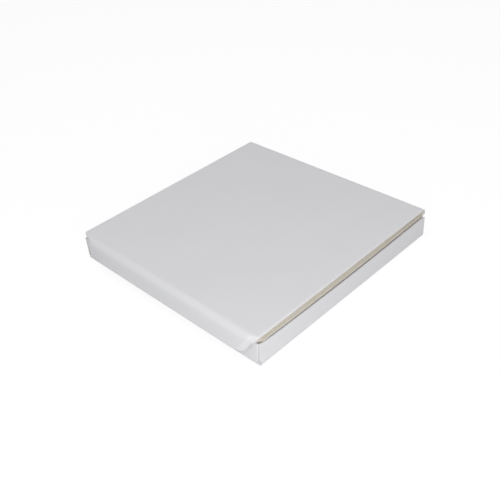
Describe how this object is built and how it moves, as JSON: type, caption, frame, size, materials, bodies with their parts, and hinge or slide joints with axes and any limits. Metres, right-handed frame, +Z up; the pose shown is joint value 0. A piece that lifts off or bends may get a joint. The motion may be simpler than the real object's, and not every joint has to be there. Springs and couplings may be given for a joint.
{
  "type": "cardboard plate box",
  "caption": "Flat square mailing box of white-faced corrugated board, with a hinged lid, an outside closing flap and rolled double side walls.",
  "frame": {"origin": "on the floor, under the centre of the closed box's outer bounds", "axes": "+X to the right across the rolled side walls, +Y from the closing flap to the hinge, +Z up"},
  "size_m": [0.2012, 0.2076, 0.0278],
  "materials": {
    "white_board": "matte",
    "kraft_core": "matte"
  },
  "bodies": {
    "tray": {"tray": "white_board"},
    "lid": {"lid": "white_board"},
    "front_flap": {"front_flap": "white_board"}
  },
  "joints": [
    {"name": "lid_hinge", "type": "hinge", "parent": "tray", "child": "lid", "pos_m": [0, 0.10275, 0.02675], "axis": [-1, 0, 0], "range_deg": [0, 175]},
    {"name": "flap_hinge", "type": "hinge", "parent": "lid", "child": "front_flap", "pos_m": [0, -0.1021, 0.0261], "axis": [-1, 0, 0], "range_deg": [0, 135]}
  ]
}
